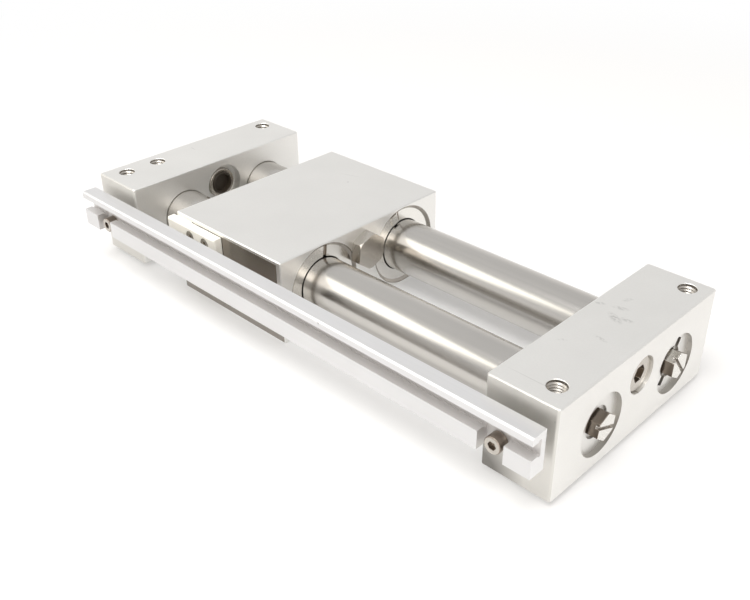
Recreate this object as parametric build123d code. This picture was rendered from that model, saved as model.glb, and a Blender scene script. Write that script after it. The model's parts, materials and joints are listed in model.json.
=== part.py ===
from build123d import *
import os

# Twin-tube rodless cylinder with magnetic coupling, in millimetres.
# Construction frame: X along the tubes, Y across them, Z up, with the origin
# midway between the end plates and midway between the two tube axes.
# save() moves every piece to the frame of the finished unit.

# End plates
overall_length = 178.0
plate_thickness = 19.5
plate_width = 68.0
plate_height = 26.0
plate_side_offset = -1.0
axis_above_plate_bottom = 11.5
plate_corner_radius = 0.8
plate_edge_chamfer = 0.3

# Mounting threads in the end plates
mount_hole_radius = 2.1
mount_pitch_y = 56.5
mount_inset = 5.5
thread_mouth_chamfer = 0.4

# Tubes
tube_diameter = 16.0
tube_wall = 0.5
tube_lead_in = 0.3
tube_pitch = 33.0
seat_clearance = 0.02
thread_runout = 1.0
running_clearance = 0.05

# Tube ends inside the plates, as depths from a plate's outer face
bolt_recess_diameter = 16.6
bolt_recess_depth = 1.5
bolt_seat_diameter = 8.6
bolt_seat_depth = 0.8
web_thickness = 5.0
chamber_length = 4.5
plug_length = 7.5
plug_boss_diameter = 8.0
plug_air_hole_radius = 0.8
plug_air_hole_count = 4
plug_air_hole_start = 45.0
o_ring_section = 1.5
o_ring_groove_width = 2.1
o_ring_squeeze = 0.15

# Slotted hexagon bolts that hold the tube plugs
tube_bolt_diameter = 4.0
tube_bolt_flats = 6.5
tube_bolt_head_height = 3.6
tube_bolt_grip = 10.2
tube_bolt_slot_width = 0.9
tube_bolt_slot_depth = 1.0
front_bolt_turn = 22.0
back_bolt_turn = 28.0
front_slot_turn = -23.0
back_slot_turn = -51.0

# Air ports and the cross gallery that joins the two tubes
port_hole_radius = 2.1
port_inset = 5.5
port_floor_above_axis = 5.6
gallery_radius = 1.25
gallery_inset = 9.4
gallery_drop = 3.6
gallery_plug_radius = 1.75
gallery_plug_length = 2.5
gallery_plug_setback = 0.3

# Stroke adjusters
stop_axis_y = -0.5
stop_axis_z = 5.5
adjuster_diameter = 10.0
adjuster_outer_setback = 0.7
adjuster_chamfer = 0.5
adjuster_nose_chamfer = 0.3
adjuster_socket_flats = 4.2
adjuster_socket_depth = 3.0
adjuster_mouth_diameter = 13.2
adjuster_mouth_depth = 3.0
bumper_setback = 1.0
bumper_proud = 0.4
bumper_diameter = 7.6
bumper_pocket_depth = 3.2
bumper_rim_width = 0.6
bumper_dish_depth = 1.8
lock_screw_diameter = 4.0
lock_screw_length = 7.0
lock_screw_inset = 14.0
lock_screw_socket_flats = 2.0
lock_screw_socket_depth = 2.2
lock_screw_gap = 0.3
lock_screw_tip_chamfer = 0.6

# Sliding table
table_length = 47.5
table_width = 64.0
table_height = 26.0
table_side_offset = -0.5
table_position = -26.75
table_edge_chamfer = 0.3
table_bore_wall = 1.2
ring_recess_wall = 0.6
ring_setback = 1.6
ring_thickness = 1.2
ring_groove_depth = 0.2
ring_inner_diameter = 16.9
ring_gap = 1.3
front_ring_gap_turn = 105.0
back_ring_gap_turn = 120.0
wiper_thickness = 2.0
bushing_length = 6.5
outer_stack_clearance = 0.5
magnet_count = 3
magnet_share = 0.6

# Load threads in the table's underside
load_hole_radius = 1.65
load_hole_depth = 5.0
load_pitch_x = 30.0
load_pitch_y = 57.0

# Striker bolts on the table's end faces
striker_diameter = 6.0
striker_flats = 10.0
striker_head_height = 3.4
striker_grip = 9.0
striker_chamfer = 0.5
striker_turn = 30.0

# Pistons inside the tubes
inner_stack_diameter = 14.2
piston_head_length = 10.0
piston_head_diameter = 14.6
piston_shaft_diameter = 4.0
piston_nut_flats = 7.0
piston_nut_height = 2.4
nut_pocket_clearance = 0.3
piston_bumper_thickness = 2.0
piston_bumper_diameter = 12.0
seal_width = 2.2
seal_groove_depth = 1.6
seal_from_stack = 2.0
wear_ring_width = 3.0
wear_ring_groove_depth = 1.0
seal_land = 1.2

# Switch rail beside the plates
rail_end_inset = 1.0
rail_standoff = 2.7
rail_holder_clearance = 2.6
rail_depth = 4.8
rail_below_axis = 0.2
rail_foot_height = 5.1
rail_slot_height = 3.9
rail_slot_depth = 3.2
rail_undercut = 0.35
rail_undercut_depth = 0.9
rail_lip_height = 2.1
rail_bevel = 0.45
rail_notch_width = 7.2
rail_notch_extra_depth = 0.5
rail_screw_inset = 11.8
rail_screw_diameter = 2.5
rail_screw_head_diameter = 4.6
rail_screw_head_height = 3.0
rail_screw_socket_flats = 2.0
rail_screw_socket_depth = 1.4
rail_screw_edge = 0.25
rail_screw_grip = 5.5
rail_spacer_diameter = 6.0

# Magnet holder on the table's side
holder_length = 23.0
holder_thickness = 2.6
holder_height = 12.0
holder_below_top = 1.4
holder_overhang = 1.4
holder_edge = 0.4
holder_screw_diameter = 2.0
holder_screw_head_diameter = 3.6
holder_screw_head_height = 1.3
holder_screw_grip = 4.0
holder_screw_pitch = 7.0
holder_screw_from_far_end = 11.0
holder_screw_below_top = 2.9
holder_screw_socket_flats = 1.5
holder_screw_socket_depth = 0.8
switch_magnet_radius = 2.5
switch_magnet_thickness = 1.6
switch_magnet_from_far_end = 5.0

# A hexagon's width across corners over its width across flats
corner_ratio = 2 / 3**0.5

# Places worked out from the sizes above
half_length = overall_length / 2
inner_face = half_length - plate_thickness
tube_radius = tube_diameter / 2
tube_bore_radius = tube_radius - tube_wall
tube_rows = {"front": -tube_pitch / 2, "back": tube_pitch / 2}
ring_gap_turns = {"front": front_ring_gap_turn, "back": back_ring_gap_turn}
plate_bottom = -axis_above_plate_bottom
plate_top = plate_bottom + plate_height
plate_front = plate_side_offset - plate_width / 2
plate_back = plate_side_offset + plate_width / 2
pocket_depth = bolt_recess_depth + web_thickness
bolt_seat_station = half_length - bolt_recess_depth - bolt_seat_depth
tube_end_depth = pocket_depth + chamber_length
table_far_face = table_position - table_length / 2
table_near_face = table_position + table_length / 2
table_front = table_side_offset - table_width / 2
table_bore_radius = table_height / 2 - table_bore_wall
ring_recess_radius = table_height / 2 - ring_recess_wall
ring_end_depth = ring_setback + ring_thickness
bushing_depth = ring_end_depth + wiper_thickness
stack_depth = bushing_depth + bushing_length
stack_length = table_length - 2 * stack_depth
magnet_length = stack_length * magnet_share / magnet_count
holder_front = table_front - holder_thickness
rail_back = min(plate_front - rail_standoff, holder_front - rail_holder_clearance)
rail_front = rail_back - rail_depth
rail_bottom = -rail_below_axis
rail_slot_low = rail_bottom + rail_foot_height
rail_slot_high = rail_slot_low + rail_slot_height
rail_top = rail_slot_high + rail_lip_height
rail_screw_z = rail_bottom + rail_foot_height / 2
rail_wall_at_screw = rail_depth - rail_slot_depth - rail_notch_extra_depth

# From the construction frame to the finished unit: the origin is the centre of
# the footprint, at the height of the table's underside
unit_shift_y = -(rail_front + plate_back) / 2
unit_shift_z = table_height / 2


def bar_x(radius, x_low, x_high, y=0.0, z=0.0):
    """Round bar along X between two stations."""
    bar = Cylinder(radius, x_high - x_low, align=(Align.CENTER, Align.CENTER, Align.MIN))
    return Pos(x_low, y, z) * Rot(0, 90, 0) * bar


def bar_y(radius, y_low, y_high, x=0.0, z=0.0):
    """Round bar along Y between two stations."""
    bar = Cylinder(radius, y_high - y_low, align=(Align.CENTER, Align.CENTER, Align.MIN))
    return Pos(x, y_low, z) * Rot(-90, 0, 0) * bar


def bar_z(radius, z_low, z_high, x=0.0, y=0.0):
    """Round bar along Z between two stations."""
    bar = Cylinder(radius, z_high - z_low, align=(Align.CENTER, Align.CENTER, Align.MIN))
    return Pos(x, y, z_low) * bar


def ring_x(outer_radius, inner_radius, x_low, x_high, y=0.0, z=0.0):
    """Plain ring about an axis along X."""
    return bar_x(outer_radius, x_low, x_high, y, z) - bar_x(inner_radius, x_low, x_high, y, z)


def box_between(x_low, x_high, y_low, y_high, z_low, z_high):
    """Box given by its two limits along each axis."""
    block = Box(x_high - x_low, y_high - y_low, z_high - z_low, align=(Align.MIN, Align.MIN, Align.MIN))
    return Pos(x_low, y_low, z_low) * block


def hexagon_x(flats, x_low, x_high, y=0.0, z=0.0, turn=0.0):
    """Hexagonal bar along X; with no turn two corners point along Y."""
    outline = RegularPolygon(flats / 2, 6, major_radius=False)
    bar = extrude(Plane.YZ * Rot(0, 0, turn) * outline, amount=x_high - x_low)
    return Pos(x_low, y, z) * bar


def hexagon_y(flats, y_low, y_high, x=0.0, z=0.0):
    """Hexagonal bar along Y with two corners pointing along X."""
    outline = RegularPolygon(flats / 2, 6, major_radius=False)
    bar = extrude(outline, amount=y_high - y_low)
    return Pos(x, y_low, z) * Rot(-90, 0, 0) * bar


def mouth_cone_z(radius, chamfer, z_face, direction, x, y):
    """Countersink that opens a hole's mouth on a face square to Z."""
    cone = Cone(radius, radius + chamfer, chamfer, align=(Align.CENTER, Align.CENTER, Align.MAX))
    if direction < 0:
        cone = Rot(180, 0, 0) * cone
    return Pos(x, y, z_face) * cone


def far_copy(shape):
    """The same piece at the far end plate."""
    return mirror(shape, about=Plane.YZ)


def both_ends_of_table(near):
    """A piece at the table's near face, and its twin at the far face."""
    return [near, mirror(near, about=Plane.YZ.offset(table_position))]


def save(name, shapes):
    """Write one node, moved to the frame of the finished unit."""
    place = Pos(0, unit_shift_y, unit_shift_z)
    solids = []
    for shape in shapes if isinstance(shapes, list) else [shapes]:
        solids.extend((place * shape).solids())
    node = solids[0] if len(solids) == 1 else Compound(children=solids)
    export_step(node, "parts/" + name + ".step")


def end_plate(port_direction):
    """End plate at the near end, with its air port opening up (+1) or down (-1)."""
    plate = box_between(inner_face, half_length, plate_front, plate_back, plate_bottom, plate_top)
    plate = fillet(plate.edges().filter_by(Axis.Z), plate_corner_radius)
    plate = chamfer(plate.faces().sort_by(Axis.Z)[-1].edges(), plate_edge_chamfer)
    plate = chamfer(plate.faces().sort_by(Axis.Z)[0].edges(), plate_edge_chamfer)
    for tube_y in tube_rows.values():
        plate -= tube_seat(tube_y)
    for side in (-1, 1):
        plate -= mounting_hole(side * mount_pitch_y / 2)
    plate -= air_port(port_direction)
    plate -= gallery()
    plate -= adjuster_hole()
    plate -= bar_z(lock_screw_diameter / 2 + seat_clearance, plate_bottom, stop_axis_z,
                   half_length - lock_screw_inset, stop_axis_y)
    plate -= bar_y(rail_screw_diameter / 2 + seat_clearance, plate_front,
                   plate_front + rail_screw_grip + thread_runout,
                   half_length - rail_screw_inset, rail_screw_z)
    return plate


def tube_seat(tube_y):
    """Stepped bore for one tube: bolt recess, bolt hole, pocket, O-ring groove and lead-in."""
    recess = bar_x(bolt_recess_diameter / 2, half_length - bolt_recess_depth, half_length, tube_y)
    recess += bar_x(bolt_seat_diameter / 2, bolt_seat_station, half_length, tube_y)
    bolt_hole = bar_x(tube_bolt_diameter / 2 + seat_clearance, half_length - pocket_depth,
                      half_length, tube_y)
    pocket_radius = tube_radius + seat_clearance
    pocket = bar_x(pocket_radius, inner_face, half_length - pocket_depth, tube_y)
    groove_middle = half_length - (tube_end_depth + plate_thickness) / 2
    groove = bar_x(tube_radius + o_ring_section - o_ring_squeeze, groove_middle - o_ring_groove_width / 2,
                   groove_middle + o_ring_groove_width / 2, tube_y)
    lead_in = Cone(pocket_radius + tube_lead_in, pocket_radius, tube_lead_in,
                   align=(Align.CENTER, Align.CENTER, Align.MIN))
    return recess + bolt_hole + pocket + groove + Pos(inner_face, tube_y, 0) * Rot(0, 90, 0) * lead_in


def mounting_hole(y):
    """Threaded hole right through the plate's height, with both mouths eased."""
    x = half_length - mount_inset
    hole = bar_z(mount_hole_radius, plate_bottom, plate_top, x, y)
    hole += mouth_cone_z(mount_hole_radius, thread_mouth_chamfer, plate_top, 1, x, y)
    hole += mouth_cone_z(mount_hole_radius, thread_mouth_chamfer, plate_bottom, -1, x, y)
    return hole


def air_port(direction):
    """Threaded port from the top or bottom face into the front tube's air chamber."""
    x = half_length - port_inset
    y = tube_rows["front"]
    if direction > 0:
        hole = bar_z(port_hole_radius, port_floor_above_axis, plate_top, x, y)
        return hole + mouth_cone_z(port_hole_radius, thread_mouth_chamfer, plate_top, 1, x, y)
    hole = bar_z(port_hole_radius, plate_bottom, -port_floor_above_axis, x, y)
    return hole + mouth_cone_z(port_hole_radius, thread_mouth_chamfer, plate_bottom, -1, x, y)


def gallery():
    """Cross drilling from the back side that joins the two air chambers."""
    x = half_length - gallery_inset
    drilling = bar_y(gallery_radius, tube_rows["front"], plate_back, x, -gallery_drop)
    seat_floor = plate_back - gallery_plug_setback - gallery_plug_length
    plug_seat = bar_y(gallery_plug_radius + seat_clearance, seat_floor, plate_back, x, -gallery_drop)
    return drilling + plug_seat


def adjuster_hole():
    """Threaded hole for the adjuster with its wider mouth on the inner face."""
    hole = bar_x(adjuster_diameter / 2 + running_clearance, inner_face, half_length, stop_axis_y, stop_axis_z)
    mouth = bar_x(adjuster_mouth_diameter / 2, inner_face, inner_face + adjuster_mouth_depth,
                  stop_axis_y, stop_axis_z)
    return hole + mouth


def tube(tube_y):
    """Thin-walled tube seated in both end plates."""
    reach = half_length - tube_end_depth
    return ring_x(tube_radius, tube_bore_radius, -reach, reach, tube_y)


def plug_groove_station():
    """Middle of the plug's O-ring groove along X, at the near end."""
    return half_length - tube_end_depth - plug_length / 2


def tube_plug(tube_y):
    """Plug in the tube's end: boss on the pocket floor, air holes, O-ring groove, blind thread."""
    body_end = half_length - tube_end_depth
    plug = bar_x(tube_bore_radius - seat_clearance, body_end - plug_length, body_end, tube_y)
    plug += bar_x(plug_boss_diameter / 2, body_end, half_length - pocket_depth, tube_y)
    middle = plug_groove_station()
    plug -= ring_x(tube_radius, tube_bore_radius - o_ring_section + o_ring_squeeze,
                   middle - o_ring_groove_width / 2, middle + o_ring_groove_width / 2, tube_y)
    thread_end = bolt_seat_station - tube_bolt_grip - thread_runout
    plug -= bar_x(tube_bolt_diameter / 2 + seat_clearance, thread_end, half_length - pocket_depth, tube_y)
    hole_circle = (plug_boss_diameter / 2 + tube_bore_radius - o_ring_section) / 2
    for place in PolarLocations(hole_circle, plug_air_hole_count, start_angle=plug_air_hole_start):
        y = tube_y + place.position.X
        z = place.position.Y
        plug -= bar_x(plug_air_hole_radius, body_end - plug_length, body_end, y, z)
    return plug


def plug_o_ring(tube_y):
    """O-ring on the plug, against the tube's bore."""
    section = o_ring_section - o_ring_squeeze - running_clearance
    ring_radius = tube_bore_radius - running_clearance - section / 2
    return Pos(plug_groove_station(), tube_y, 0) * Rot(0, 90, 0) * Torus(ring_radius, section / 2)


def plate_o_ring(tube_y):
    """O-ring in the plate's groove, around the tube."""
    groove_middle = half_length - (tube_end_depth + plate_thickness) / 2
    section = o_ring_section - o_ring_squeeze - running_clearance
    ring_radius = tube_radius + running_clearance / 2 + section / 2
    return Pos(groove_middle, tube_y, 0) * Rot(0, 90, 0) * Torus(ring_radius, section / 2)


def tube_bolt(tube_y, turn, slot_turn):
    """Hexagon bolt with a screwdriver slot, its head in the plate's outer recess."""
    seat = bolt_seat_station
    top = seat + tube_bolt_head_height
    bolt = hexagon_x(tube_bolt_flats, seat, top, tube_y, 0, turn)
    slot = box_between(top - tube_bolt_slot_depth, top, -tube_bolt_flats, tube_bolt_flats,
                       -tube_bolt_slot_width / 2, tube_bolt_slot_width / 2)
    bolt -= Pos(0, tube_y, 0) * Rot(slot_turn, 0, 0) * slot
    return bolt + bar_x(tube_bolt_diameter / 2, seat - tube_bolt_grip, seat, tube_y)


def gallery_plug():
    """Pressed plug that closes the gallery's drilled mouth."""
    outer_end = plate_back - gallery_plug_setback
    return bar_y(gallery_plug_radius, outer_end - gallery_plug_length, outer_end,
                 half_length - gallery_inset, -gallery_drop)


def adjuster_screw():
    """Stroke adjuster at the near end: a threaded plug with a socket outside and a hollow nose."""
    outer_end = half_length - adjuster_outer_setback
    nose_end = inner_face + bumper_setback + bumper_proud
    screw = bar_x(adjuster_diameter / 2, nose_end, outer_end, stop_axis_y, stop_axis_z)
    screw = chamfer(screw.edges().group_by(Axis.X)[-1], adjuster_chamfer)
    screw = chamfer(screw.edges().group_by(Axis.X)[0], adjuster_nose_chamfer)
    screw -= hexagon_x(adjuster_socket_flats, outer_end - adjuster_socket_depth, outer_end,
                       stop_axis_y, stop_axis_z)
    screw -= bar_x(bumper_diameter / 2 + running_clearance, nose_end, nose_end + bumper_pocket_depth,
                   stop_axis_y, stop_axis_z)
    return screw


def bumper():
    """Rubber stop pad in the adjuster's nose, with a hollow in its face."""
    face = inner_face + bumper_setback
    pad = bar_x(bumper_diameter / 2, face, face + bumper_proud + bumper_pocket_depth - seat_clearance,
                stop_axis_y, stop_axis_z)
    pad = chamfer(pad.edges().group_by(Axis.X)[0], bumper_proud / 2)
    return pad - bar_x(bumper_diameter / 2 - bumper_rim_width, face, face + bumper_dish_depth,
                       stop_axis_y, stop_axis_z)


def lock_screw():
    """Set screw from the plate's bottom that locks the adjuster's thread."""
    x = half_length - lock_screw_inset
    tip = stop_axis_z - adjuster_diameter / 2 - lock_screw_gap
    screw = bar_z(lock_screw_diameter / 2, tip - lock_screw_length, tip, x, stop_axis_y)
    screw = chamfer(screw.edges().group_by(Axis.Z)[-1], lock_screw_tip_chamfer)
    outline = RegularPolygon(lock_screw_socket_flats / 2, 6, major_radius=False)
    socket = extrude(outline, amount=lock_screw_socket_depth)
    return screw - Pos(x, stop_axis_y, tip - lock_screw_length) * socket


def table_block():
    """Sliding table with its two stepped bores, striker threads and load threads."""
    block = box_between(table_far_face, table_near_face, table_front, table_front + table_width,
                        -table_height / 2, table_height / 2)
    block = chamfer(block.edges(), table_edge_chamfer)
    for tube_y in tube_rows.values():
        block -= bar_x(table_bore_radius, table_far_face, table_near_face, tube_y)
        for recess in both_ends_of_table(ring_recess(tube_y)):
            block -= recess
    for striker_hole in both_ends_of_table(striker_thread()):
        block -= striker_hole
    for x_side in (-1, 1):
        for y_side in (-1, 1):
            block -= load_hole(table_position + x_side * load_pitch_x / 2,
                               table_side_offset + y_side * load_pitch_y / 2)
    for x in holder_screw_stations():
        block -= bar_y(holder_screw_diameter / 2 + seat_clearance, table_front,
                       table_front + holder_screw_grip + thread_runout, x, holder_screw_z())
    return block


def ring_recess(tube_y):
    """Recess in the table's near face with the groove that holds the retaining ring."""
    recess = bar_x(ring_recess_radius, table_near_face - ring_end_depth, table_near_face, tube_y)
    groove = bar_x(ring_recess_radius + ring_groove_depth, table_near_face - ring_end_depth,
                   table_near_face - ring_setback, tube_y)
    return recess + groove


def striker_thread():
    """Blind hole for the striker bolt in the table's near face."""
    floor = table_near_face - striker_grip - thread_runout
    return bar_x(striker_diameter / 2 + seat_clearance, floor, table_near_face, stop_axis_y, stop_axis_z)


def load_hole(x, y):
    """Blind threaded hole in the table's underside."""
    underside = -table_height / 2
    return bar_z(load_hole_radius, underside, underside + load_hole_depth, x, y)


def retaining_ring(tube_y, gap_turn):
    """Flat split ring that holds the bore's contents, at the near face."""
    inward_face = table_near_face - ring_end_depth
    ring = ring_x(ring_recess_radius + ring_groove_depth - seat_clearance, ring_inner_diameter / 2,
                  inward_face, inward_face + ring_thickness, tube_y)
    gap = box_between(inward_face, table_near_face, 0, table_height / 2, -ring_gap / 2, ring_gap / 2)
    return ring - Pos(0, tube_y, 0) * Rot(gap_turn, 0, 0) * gap


def wiper(tube_y):
    """Rubber wiper behind the retaining ring."""
    return ring_x(table_bore_radius, tube_radius + running_clearance, table_near_face - bushing_depth,
                  table_near_face - ring_end_depth, tube_y)


def bushing(tube_y):
    """Plain bearing that carries the table on the tube."""
    return ring_x(table_bore_radius, tube_radius + running_clearance, table_near_face - stack_depth,
                  table_near_face - bushing_depth, tube_y)


def stack_stations():
    """X limits of the magnets and of the yokes between them, counted along the stack."""
    yoke_count = magnet_count + 1
    yoke_length = (stack_length - magnet_count * magnet_length) / yoke_count
    start = table_position - stack_length / 2
    magnets = []
    yokes = []
    for index in range(yoke_count):
        yoke_start = start + index * (yoke_length + magnet_length)
        yokes.append((yoke_start, yoke_start + yoke_length))
        if index < magnet_count:
            magnets.append((yoke_start + yoke_length, yoke_start + yoke_length + magnet_length))
    return magnets, yokes


def outer_rings(stations, tube_y):
    """Rings of the outer stack, pressed in the table's bore."""
    inner_radius = tube_radius + outer_stack_clearance
    return [ring_x(table_bore_radius, inner_radius, low, high, tube_y) for low, high in stations]


def inner_discs(stations, tube_y):
    """Discs of the inner stack, threaded on the piston's shaft."""
    hole_radius = piston_shaft_diameter / 2 + seat_clearance
    return [ring_x(inner_stack_diameter / 2, hole_radius, low, high, tube_y) for low, high in stations]


def striker_bolt():
    """Hexagon bolt on the table's near face that meets the adjuster's pad."""
    head = hexagon_x(striker_flats, table_near_face, table_near_face + striker_head_height,
                     stop_axis_y, stop_axis_z, striker_turn)
    corner_radius = striker_flats / 2 * corner_ratio
    ease = Cone(corner_radius + striker_head_height, corner_radius - striker_chamfer,
                striker_head_height + striker_chamfer, align=(Align.CENTER, Align.CENTER, Align.MAX))
    head &= Pos(table_near_face + striker_head_height, stop_axis_y, stop_axis_z) * Rot(0, 90, 0) * ease
    shank = bar_x(striker_diameter / 2, table_near_face - striker_grip, table_near_face,
                  stop_axis_y, stop_axis_z)
    return head + shank


def piston_half_length():
    """Distance from the piston's middle to the end of its head."""
    return stack_length / 2 + piston_head_length


def head_stations():
    """X limits of the near piston head: stack side, seal, wear ring and outer end."""
    start = table_position + stack_length / 2
    seal = (start + seal_from_stack, start + seal_from_stack + seal_width)
    wear = (seal[1] + seal_land, seal[1] + seal_land + wear_ring_width)
    return start, seal, wear, start + piston_head_length


def piston_head(tube_y):
    """Aluminium head with grooves for the seal and the wear ring and a pocket for the nut."""
    start, seal, wear, end = head_stations()
    radius = piston_head_diameter / 2
    head = bar_x(radius, start, end, tube_y)
    head -= ring_x(tube_bore_radius, tube_bore_radius - seal_groove_depth, seal[0], seal[1], tube_y)
    head -= ring_x(tube_bore_radius, tube_bore_radius - wear_ring_groove_depth, wear[0], wear[1], tube_y)
    head -= bar_x(piston_shaft_diameter / 2 + seat_clearance, start, end, tube_y)
    pocket_radius = piston_nut_flats / 2 * corner_ratio + nut_pocket_clearance
    head -= bar_x(pocket_radius, end - piston_nut_height, end, tube_y)
    return head


def piston_seal(tube_y):
    """Piston seal in its groove."""
    seal = head_stations()[1]
    return ring_x(tube_bore_radius - running_clearance, tube_bore_radius - seal_groove_depth, seal[0],
                  seal[1], tube_y)


def wear_ring(tube_y):
    """Plastic guide ring in its groove."""
    wear = head_stations()[2]
    return ring_x(tube_bore_radius - running_clearance, tube_bore_radius - wear_ring_groove_depth, wear[0],
                  wear[1], tube_y)


def piston_shaft(tube_y):
    """Threaded shaft that clamps the piston together."""
    reach = piston_half_length()
    return bar_x(piston_shaft_diameter / 2, table_position - reach, table_position + reach, tube_y)


def piston_nut(tube_y):
    """Nut sunk in the head's outer end."""
    end = table_position + piston_half_length()
    nut = hexagon_x(piston_nut_flats, end - piston_nut_height, end, tube_y)
    return nut - bar_x(piston_shaft_diameter / 2 + seat_clearance, end - piston_nut_height, end, tube_y)


def piston_bumper(tube_y):
    """Rubber disc on the end of the piston."""
    end = table_position + piston_half_length()
    return bar_x(piston_bumper_diameter / 2, end, end + piston_bumper_thickness, tube_y)


def switch_rail():
    """Slotted rail in one extruded profile, with a notch over each fixing screw."""
    undercut_back = rail_front + rail_slot_depth
    undercut_front = undercut_back - rail_undercut_depth
    profile = Polyline(
        (rail_front, rail_bottom),
        (rail_back, rail_bottom),
        (rail_back, rail_top),
        (rail_front + rail_bevel, rail_top),
        (rail_front, rail_top - rail_bevel),
        (rail_front, rail_slot_high),
        (undercut_front, rail_slot_high),
        (undercut_front, rail_slot_high + rail_undercut),
        (undercut_back, rail_slot_high + rail_undercut),
        (undercut_back, rail_slot_low - rail_undercut),
        (undercut_front, rail_slot_low - rail_undercut),
        (undercut_front, rail_slot_low),
        (rail_front, rail_slot_low),
        close=True,
    )
    reach = half_length - rail_end_inset
    rail = Pos(-reach, 0, 0) * extrude(Plane.YZ * make_face(profile), amount=2 * reach)
    for side in (-1, 1):
        x = side * (half_length - rail_screw_inset)
        notch_back = rail_front + rail_slot_depth + rail_notch_extra_depth
        notch = bar_y(rail_notch_width / 2, rail_front, notch_back, x, rail_screw_z)
        notch += box_between(x - rail_notch_width / 2, x + rail_notch_width / 2, rail_front, notch_back,
                             rail_bottom, rail_screw_z)
        rail -= notch
        rail -= bar_y(rail_screw_diameter / 2 + seat_clearance, notch_back, rail_back, x, rail_screw_z)
    return rail


def rail_spacer():
    """Round spacer between the rail and the near plate."""
    x = half_length - rail_screw_inset
    spacer = bar_y(rail_spacer_diameter / 2, rail_back, plate_front, x, rail_screw_z)
    return spacer - bar_y(rail_screw_diameter / 2 + seat_clearance, rail_back, plate_front, x, rail_screw_z)


def rail_screw():
    """Socket cap screw through the rail and its spacer into the near plate."""
    x = half_length - rail_screw_inset
    seat = rail_back - rail_wall_at_screw
    head = bar_y(rail_screw_head_diameter / 2, seat - rail_screw_head_height, seat, x, rail_screw_z)
    head = chamfer(head.edges().group_by(Axis.Y)[0], rail_screw_edge)
    head -= hexagon_y(rail_screw_socket_flats, seat - rail_screw_head_height,
                      seat - rail_screw_head_height + rail_screw_socket_depth, x, rail_screw_z)
    return head + bar_y(rail_screw_diameter / 2, seat, plate_front + rail_screw_grip, x, rail_screw_z)


def holder_far_end():
    """X of the holder's far end, just past the table's far face."""
    return table_far_face - holder_overhang


def holder_top():
    """Height of the holder's top."""
    return table_height / 2 - holder_below_top


def holder_screw_stations():
    """X of the two holder screws."""
    first = holder_far_end() + holder_screw_from_far_end
    return [first, first + holder_screw_pitch]


def holder_screw_z():
    """Height of the holder screws."""
    return holder_top() - holder_screw_below_top


def magnet_holder():
    """Moulded holder on the table's side with two sunk screw seats and a magnet pocket."""
    far_end = holder_far_end()
    holder = box_between(far_end, far_end + holder_length, holder_front, table_front,
                         holder_top() - holder_height, holder_top())
    holder = chamfer(holder.faces().sort_by(Axis.Y)[0].edges(), holder_edge)
    for x in holder_screw_stations():
        holder -= bar_y(holder_screw_diameter / 2 + seat_clearance, holder_front, table_front,
                        x, holder_screw_z())
        holder -= bar_y(holder_screw_head_diameter / 2 + seat_clearance, holder_front,
                        holder_front + holder_screw_head_height, x, holder_screw_z())
    return holder - magnet_disc(switch_magnet_radius + seat_clearance)


def magnet_disc(radius):
    """Disc of the switch magnet's place, flush with the holder's back."""
    return bar_y(radius, table_front - switch_magnet_thickness, table_front,
                 holder_far_end() + switch_magnet_from_far_end, holder_top() - holder_height / 2)


def holder_screw(x):
    """Small socket screw that holds the magnet holder."""
    seat = holder_front + holder_screw_head_height
    z = holder_screw_z()
    head = bar_y(holder_screw_head_diameter / 2, holder_front, seat, x, z)
    head -= hexagon_y(holder_screw_socket_flats, holder_front, holder_front + holder_screw_socket_depth,
                      x, z)
    return head + bar_y(holder_screw_diameter / 2, seat, table_front + holder_screw_grip, x, z)


def save_ends():
    """Plates and what is bolted into them."""
    save("near_end_plate", end_plate(-1))
    save("far_end_plate", far_copy(end_plate(1)))
    plugs = [tube_plug(y) for y in tube_rows.values()]
    plug_rings = [plug_o_ring(y) for y in tube_rows.values()]
    plate_rings = [plate_o_ring(y) for y in tube_rows.values()]
    bolts = [tube_bolt(tube_rows["front"], front_bolt_turn, front_slot_turn),
             tube_bolt(tube_rows["back"], back_bolt_turn, back_slot_turn)]
    for prefix, place in (("near", lambda shape: shape), ("far", far_copy)):
        save(prefix + "_tube_plugs", [place(shape) for shape in plugs])
        save(prefix + "_plug_o_rings", [place(shape) for shape in plug_rings])
        save(prefix + "_plate_o_rings", [place(shape) for shape in plate_rings])
        save(prefix + "_tube_bolts", [place(shape) for shape in bolts])
        save(prefix + "_adjuster_screw", place(adjuster_screw()))
        save(prefix + "_bumper", place(bumper()))
    save("gallery_plugs", [gallery_plug(), far_copy(gallery_plug())])
    save("adjuster_lock_screws", [lock_screw(), far_copy(lock_screw())])
    save("switch_rail", switch_rail())
    save("rail_spacers", [rail_spacer(), far_copy(rail_spacer())])
    save("rail_screws", [rail_screw(), far_copy(rail_screw())])


def save_table():
    """Sliding table and what it carries."""
    save("table_block", table_block())
    near_striker, far_striker = both_ends_of_table(striker_bolt())
    save("near_striker_bolt", near_striker)
    save("far_striker_bolt", far_striker)
    save("magnet_holder", magnet_holder())
    save("switch_magnet", magnet_disc(switch_magnet_radius))
    save("magnet_holder_screws", [holder_screw(x) for x in holder_screw_stations()])


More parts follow.
